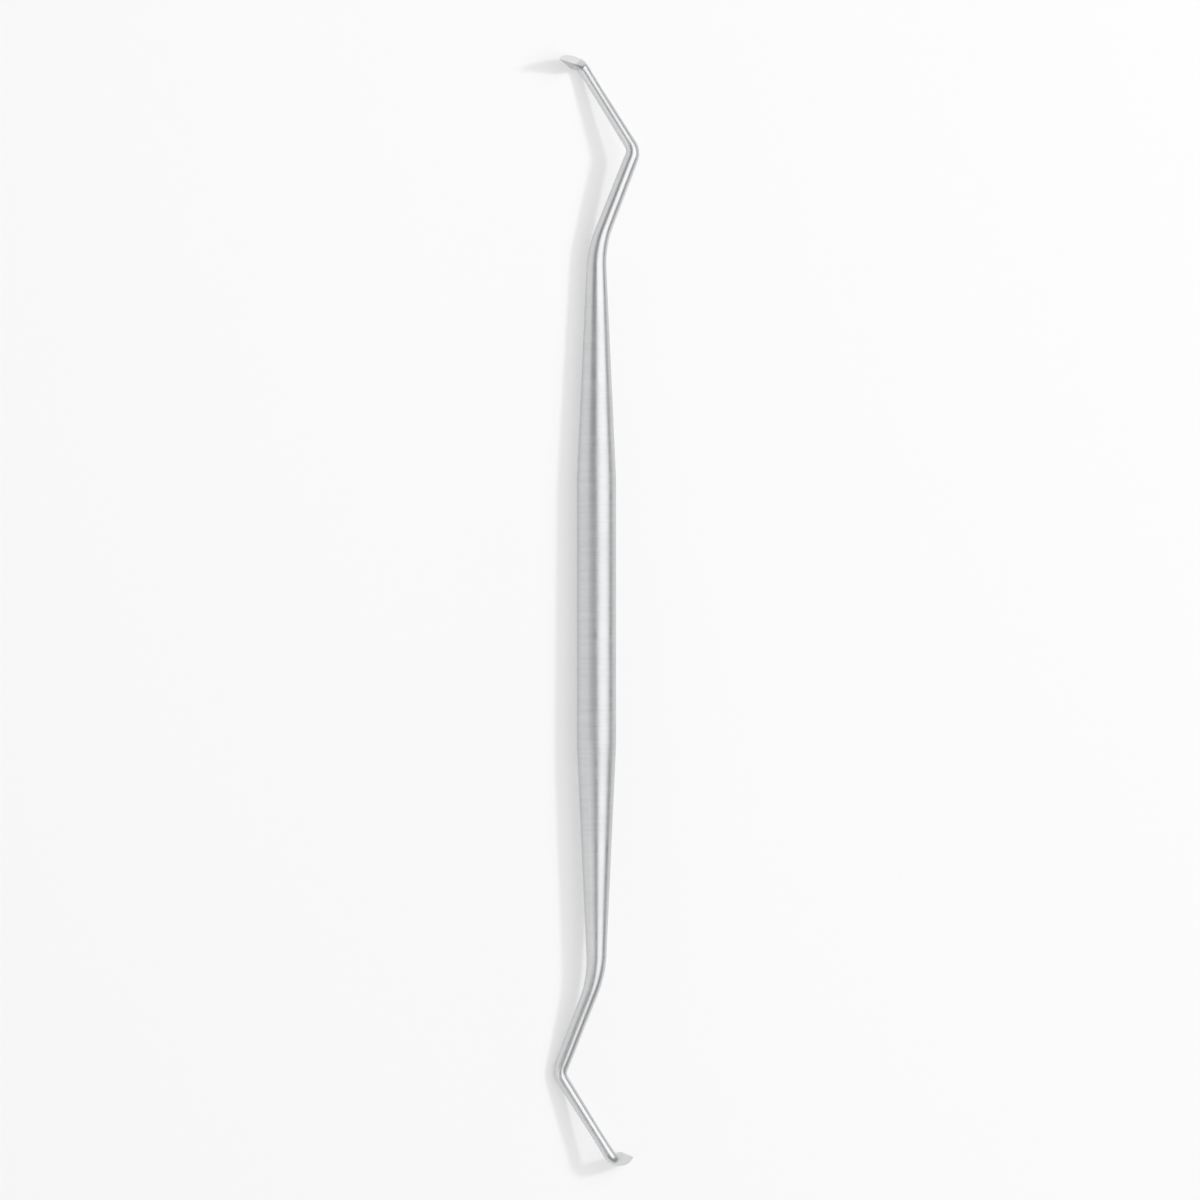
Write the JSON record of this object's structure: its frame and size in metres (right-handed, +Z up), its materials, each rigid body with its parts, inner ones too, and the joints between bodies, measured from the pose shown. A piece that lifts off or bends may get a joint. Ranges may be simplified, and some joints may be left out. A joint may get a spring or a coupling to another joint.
{
  "type": "dental scaler",
  "caption": "Slim hand instrument: a round handle tapers at both ends into bent shanks, each ending in a pointed, flat-faced scaling blade.",
  "frame": {"origin": "on the ground, straight under the middle of the handle", "axes": "+Y along the handle towards the end whose blade points up, +Z up; the instrument lies as it comes to rest"},
  "size_m": [0.0176, 0.1698, 0.0064],
  "materials": {
    "stainless_steel": "satin bead-blasted and finely brushed stainless steel, with bright ground facets on the blades"
  },
  "bodies": {
    "root": {"scaler": "stainless_steel"}
  },
  "joints": []
}
